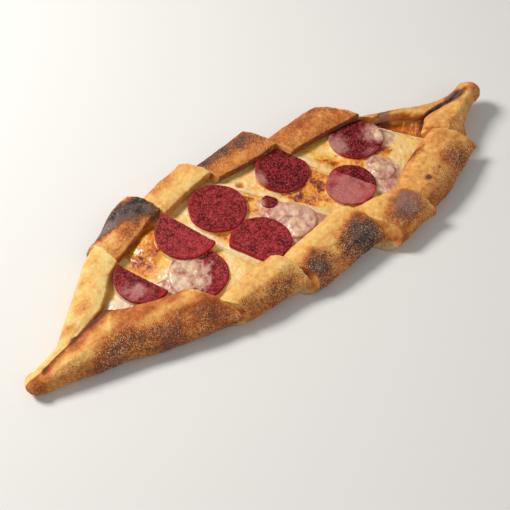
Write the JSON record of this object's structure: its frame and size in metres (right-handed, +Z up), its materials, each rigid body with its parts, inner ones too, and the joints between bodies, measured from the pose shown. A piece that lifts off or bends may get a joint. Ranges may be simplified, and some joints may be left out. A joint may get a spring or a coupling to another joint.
{
  "type": "turkish pide",
  "caption": "Boat-shaped baked flatbread with folded, charred rims and twisted tips, filled with melted cheese and sausage slices, cut crosswise into pieces that keep its shape.",
  "frame": {"origin": "under the middle of the pide's box, on the surface that it lies on", "axes": "+X from the near tip to the far tip, +Y across to the left side, +Z up"},
  "size_m": [0.424, 0.1572, 0.0263],
  "materials": {
    "crust": "baked bread crust, golden to brown with charred patches and semolina grains",
    "cheese": "melted cheese, glossy, with orange-brown blisters",
    "sausage": "sliced cured sausage, satin, finely speckled"
  },
  "bodies": {
    "root": {"piece_1_crust": "crust", "piece_2_crust": "crust", "piece_3_crust": "crust", "piece_4_crust": "crust", "piece_5_crust": "crust", "piece_6_crust": "crust", "piece_1_filling": "cheese", "piece_2_filling": "cheese", "piece_3_filling": "cheese", "piece_4_filling": "cheese", "piece_5_filling": "cheese", "piece_6_filling": "cheese", "sausage_1": "sausage", "sausage_2": "sausage", "sausage_3": "sausage", "sausage_4": "sausage", "sausage_5": "sausage", "sausage_6": "sausage", "sausage_7": "sausage", "sausage_8": "sausage", "sausage_9": "sausage", "sausage_10": "sausage", "sausage_11": "sausage", "sausage_12": "sausage"}
  },
  "joints": []
}
